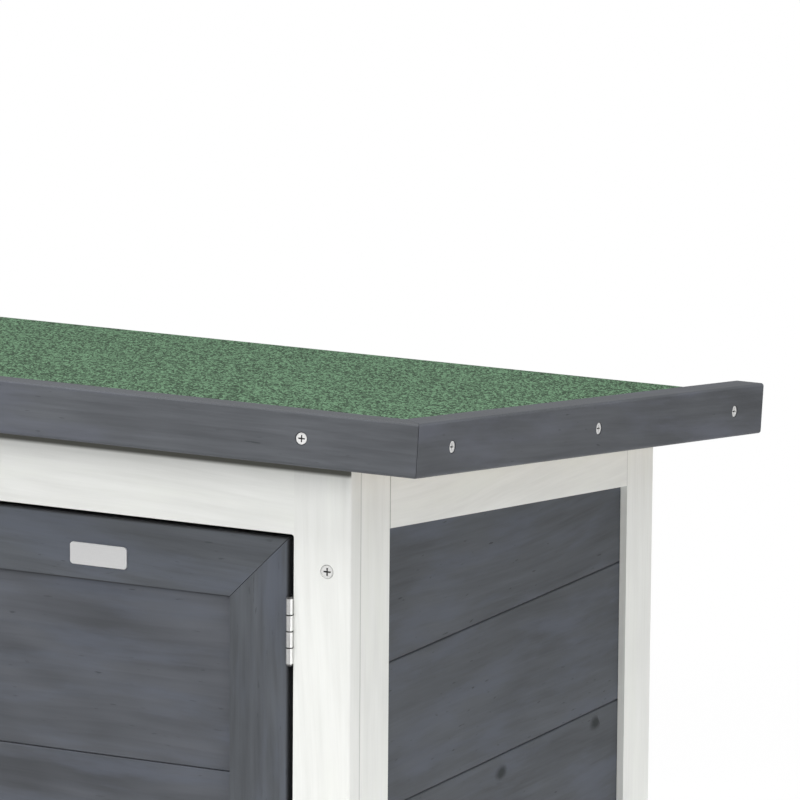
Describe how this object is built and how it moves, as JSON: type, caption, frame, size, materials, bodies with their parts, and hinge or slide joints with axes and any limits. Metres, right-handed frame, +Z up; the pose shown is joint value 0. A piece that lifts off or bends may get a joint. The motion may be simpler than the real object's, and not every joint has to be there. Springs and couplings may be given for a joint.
{
  "type": "rabbit hutch",
  "caption": "Two-tier wooden rabbit hutch, grey boards in a white frame, felted lid hinged at the back, bolted doors, wire run, ramp and pull-out tray.",
  "frame": {"origin": "on the ground, under the middle of the bounding box", "axes": "+X to the viewer's right along the front, +Y from front to back, +Z up"},
  "size_m": [0.9, 0.4562, 0.8099],
  "materials": {
    "white_wood": "painted warm white, faint grain",
    "grey_wood": "slate grey stain with soft grain",
    "bare_wood": "unpainted planed fir",
    "felt": "bitumen felt with green mineral grains",
    "wire": "galvanised welded wire",
    "zinc": "zinc plated",
    "screw_steel": "bright zinc plated",
    "name_plate": "bare satin plate",
    "tray_sheet": "galvanised sheet"
  },
  "bodies": {
    "carcass": {"back_boards": "grey_wood", "back_frame": "white_wood", "bolt_keepers": "zinc", "door_hinge_frame_leaves": "zinc", "door_hinge_pins": "zinc", "door_stops": "bare_wood", "floor_bearers": "bare_wood", "frame_screws": "screw_steel", "front_bottom_rail": "white_wood", "front_left_stile": "white_wood", "front_lower_mullion": "white_wood", "front_middle_rail": "white_wood", "front_right_stile": "white_wood", "front_top_rail": "white_wood", "front_upper_mullion": "white_wood", "left_front_post": "white_wood", "left_rear_post": "white_wood", "left_side_boards": "grey_wood", "left_side_mesh": "wire", "left_side_rails": "white_wood", "lower_floor": "bare_wood", "lower_front_mesh": "wire", "nest_divider": "bare_wood", "ramp_pivot": "zinc", "right_front_post": "white_wood", "right_rear_post": "white_wood", "right_side_boards": "grey_wood", "right_side_mesh": "wire", "right_side_rails": "white_wood", "roof_hinge_back_leaves": "zinc", "upper_floor": "bare_wood"},
    "lid": {"roof_boards": "bare_wood", "roof_battens": "bare_wood", "roof_front_fascia": "grey_wood", "roof_left_fascia": "grey_wood", "roof_right_fascia": "grey_wood", "roof_felt": "felt", "fascia_screws": "screw_steel", "roof_hinge_lid_leaves": "zinc"},
    "nest_door": {"nest_door_frame": "grey_wood", "nest_door_boards": "grey_wood", "nest_door_plate": "name_plate", "nest_door_hinge_leaves": "zinc", "nest_bolt_guide": "zinc"},
    "run_door": {"run_door_frame": "grey_wood", "run_door_mesh": "wire", "run_door_hinge_leaves": "zinc", "run_bolt_guide": "zinc"},
    "lower_door": {"lower_door_frame": "grey_wood", "lower_door_mesh": "wire", "lower_door_hinge_leaves": "zinc", "lower_bolt_guide": "zinc"},
    "nest_bolt_bar": {"nest_bolt": "zinc"},
    "run_bolt_bar": {"run_bolt": "zinc"},
    "lower_bolt_bar": {"lower_bolt": "zinc"},
    "tray": {"tray_pan": "tray_sheet", "tray_front": "grey_wood", "tray_knob": "bare_wood"},
    "ramp": {"ramp_board": "bare_wood", "ramp_treads": "bare_wood"}
  },
  "joints": [
    {"name": "lid_lift", "type": "hinge", "parent": "carcass", "child": "lid", "pos_m": [0, 0.18527, 0.73828], "axis": [-1, 0, 0], "range_deg": [0, 88]},
    {"name": "nest_door_swing", "type": "hinge", "parent": "carcass", "child": "nest_door", "pos_m": [0.3635, -0.20963, 0.60215], "axis": [0, 0, 1], "range_deg": [0, 165]},
    {"name": "run_door_swing", "type": "hinge", "parent": "carcass", "child": "run_door", "pos_m": [-0.3635, -0.20963, 0.5754], "axis": [0, 0, -1], "range_deg": [0, 165]},
    {"name": "lower_door_swing", "type": "hinge", "parent": "carcass", "child": "lower_door", "pos_m": [-0.3635, -0.20963, 0.23675], "axis": [0, 0, -1], "range_deg": [0, 165]},
    {"name": "nest_bolt_slide", "type": "slide", "parent": "nest_door", "child": "nest_bolt_bar", "axis": [-1, 0, 0], "range_m": [0, 0.014]},
    {"name": "run_bolt_slide", "type": "slide", "parent": "run_door", "child": "run_bolt_bar", "axis": [1, 0, 0], "range_m": [0, 0.014]},
    {"name": "lower_bolt_slide", "type": "slide", "parent": "lower_door", "child": "lower_bolt_bar", "axis": [1, 0, 0], "range_m": [0, 0.014]},
    {"name": "tray_pull", "type": "slide", "parent": "carcass", "child": "tray", "axis": [0, -1, 0], "range_m": [0, 0.3]},
    {"name": "ramp_fold", "type": "hinge", "parent": "carcass", "child": "ramp", "pos_m": [-0.2805, 0.06077, 0.3915], "axis": [0, -1, 0], "range_deg": [0, 40]}
  ]
}
